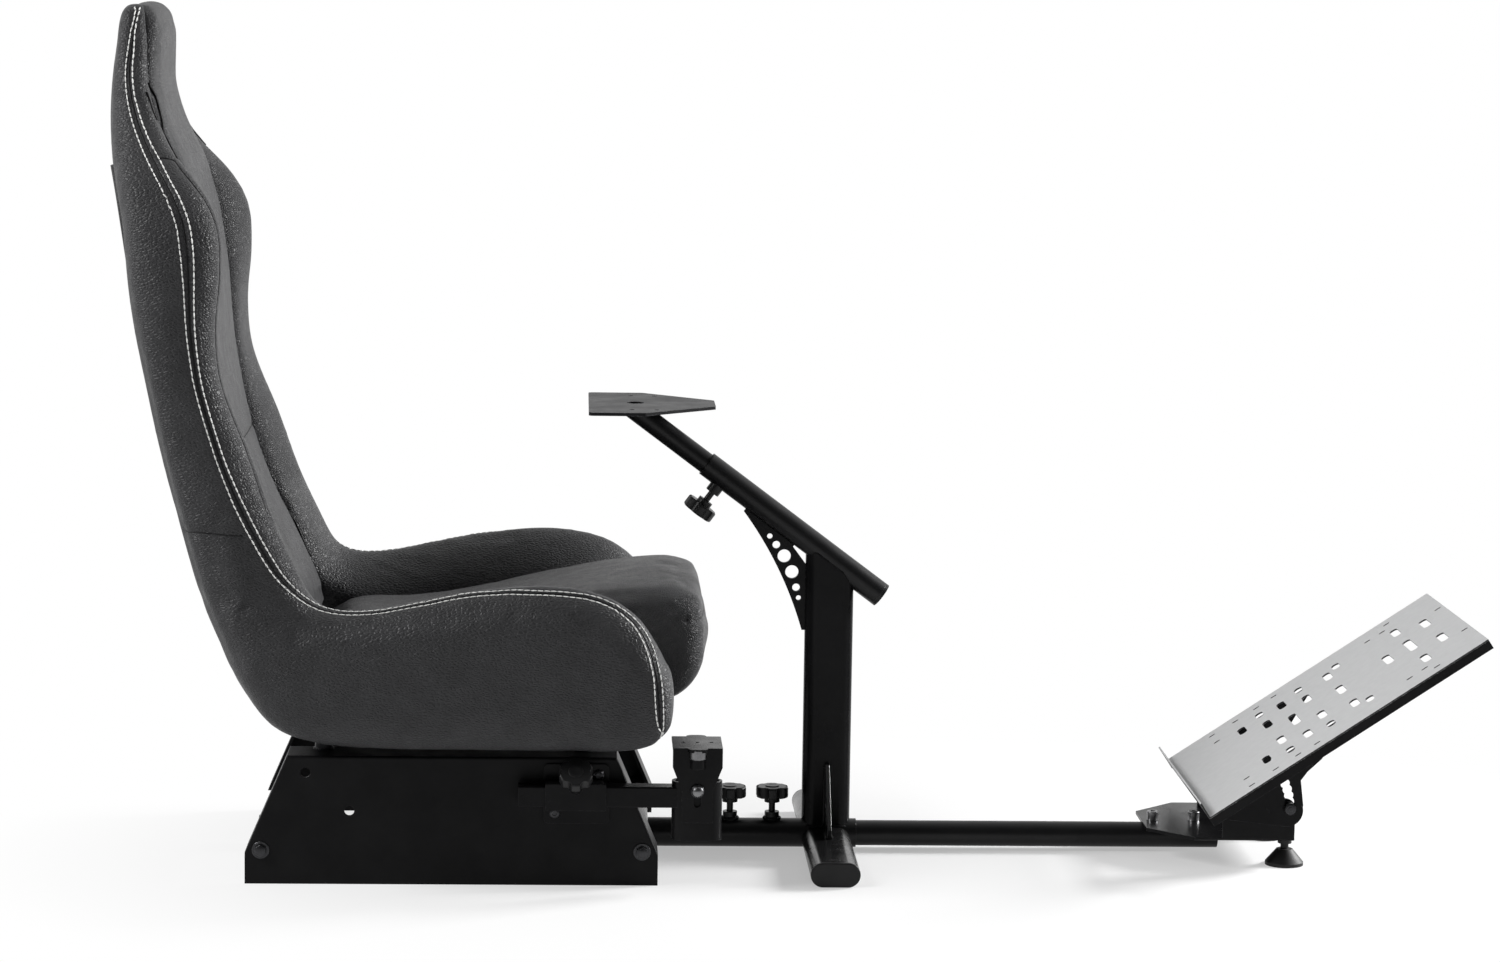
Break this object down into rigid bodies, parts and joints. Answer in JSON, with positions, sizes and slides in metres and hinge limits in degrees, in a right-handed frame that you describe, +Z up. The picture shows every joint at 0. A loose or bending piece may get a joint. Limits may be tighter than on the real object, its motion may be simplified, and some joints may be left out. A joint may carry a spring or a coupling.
{
  "type": "racing simulator seat rig",
  "caption": "Free-standing racing-simulator rig: bucket seat on a folded base, floor rail, wheel post, shifter arm and tilting pedal deck.",
  "frame": {"origin": "on the floor, at the middle of the underside of the T-foot below the post", "axes": "+X forward to the pedals, +Y to the driver's left, +Z up"},
  "size_m": [1.6606, 0.5604, 1.046],
  "materials": {
    "black_coat": "satin",
    "deck_sheet": "satin",
    "dark_fastener": "satin",
    "black_plastic": "matte",
    "board": "matte",
    "seat_cover": "satin"
  },
  "bodies": {
    "frame": {"back_wing_left": "seat_cover", "back_wing_right": "seat_cover", "backrest": "seat_cover", "base_cross_tube_front": "black_coat", "base_cross_tube_rear": "black_coat", "base_plate_left": "black_coat", "base_plate_right": "black_coat", "column_end_cap": "black_plastic", "column_tube": "black_coat", "floor_rail": "black_coat", "foot_cap_left": "black_plastic", "foot_cap_right": "black_plastic", "foot_gusset_left": "black_coat", "foot_gusset_right": "black_coat", "headrest": "seat_cover", "post": "black_coat", "post_gusset": "black_coat", "rail_end_cap": "black_plastic", "rear_board": "board", "seat_cushion": "seat_cover", "seat_pan": "black_coat", "shifter_clamp": "black_coat", "t_foot": "black_coat", "thigh_bolster_left": "seat_cover", "thigh_bolster_right": "seat_cover"},
    "wheel_mount": {"column_slider": "black_coat", "wheel_plate": "black_coat"},
    "pedal_carrier": {"pedal_tube": "black_coat", "pedal_bracket": "black_coat", "levelling_foot_right": "black_plastic", "levelling_foot_left": "black_plastic", "pivot_rod": "dark_fastener", "tilt_rod": "dark_fastener"},
    "pedal_deck": {"pedal_deck": "deck_sheet", "deck_rim_right": "black_coat", "deck_rim_left": "black_coat", "deck_cheek_right": "black_coat", "deck_cheek_left": "black_coat"},
    "shifter_arm": {"shifter_arm": "black_coat", "shifter_bolt": "dark_fastener"},
    "shifter_bracket": {"shifter_bracket": "black_coat"},
    "rail_knob_rear": {"rail_knob_rear": "black_plastic"},
    "rail_knob_front": {"rail_knob_front": "black_plastic"},
    "column_knob": {"column_knob": "black_plastic"},
    "shifter_knob": {"shifter_knob": "black_plastic"}
  },
  "joints": [
    {"name": "wheel_slide", "type": "slide", "parent": "frame", "child": "wheel_mount", "axis": [-0.8028, 0, 0.5962], "range_m": [-0.06, 0.1]},
    {"name": "pedal_slide", "type": "slide", "parent": "frame", "child": "pedal_carrier", "axis": [1, 0, 0], "range_m": [-0.25, 0.1]},
    {"name": "pedal_tilt", "type": "hinge", "parent": "pedal_carrier", "child": "pedal_deck", "pos_m": [0.488, 0, 0.078], "axis": [0, 1, 0], "range_deg": [0, 24]},
    {"name": "shifter_slide", "type": "slide", "parent": "frame", "child": "shifter_arm", "axis": [1, 0, 0], "range_m": [0, 0.055]},
    {"name": "shifter_height", "type": "slide", "parent": "shifter_arm", "child": "shifter_bracket", "axis": [0, 0, 1], "range_m": [0, 0.016]},
    {"name": "rail_knob_rear_turn", "type": "hinge", "parent": "frame", "child": "rail_knob_rear", "pos_m": [-0.1194, 0, 0.06], "axis": [0, 0, 1], "range_deg": [0, 360]},
    {"name": "rail_knob_front_turn", "type": "hinge", "parent": "frame", "child": "rail_knob_front", "pos_m": [-0.0669, 0, 0.06], "axis": [0, 0, 1], "range_deg": [0, 360]},
    {"name": "column_knob_turn", "type": "hinge", "parent": "frame", "child": "column_knob", "pos_m": [-0.13252, 0, 0.4672], "axis": [-0.5962, 0, -0.8028], "range_deg": [0, 360]},
    {"name": "shifter_knob_turn", "type": "hinge", "parent": "frame", "child": "shifter_knob", "pos_m": [-0.312, -0.229, 0.114], "axis": [0, -0.7071, 0.7071], "range_deg": [0, 360]}
  ]
}
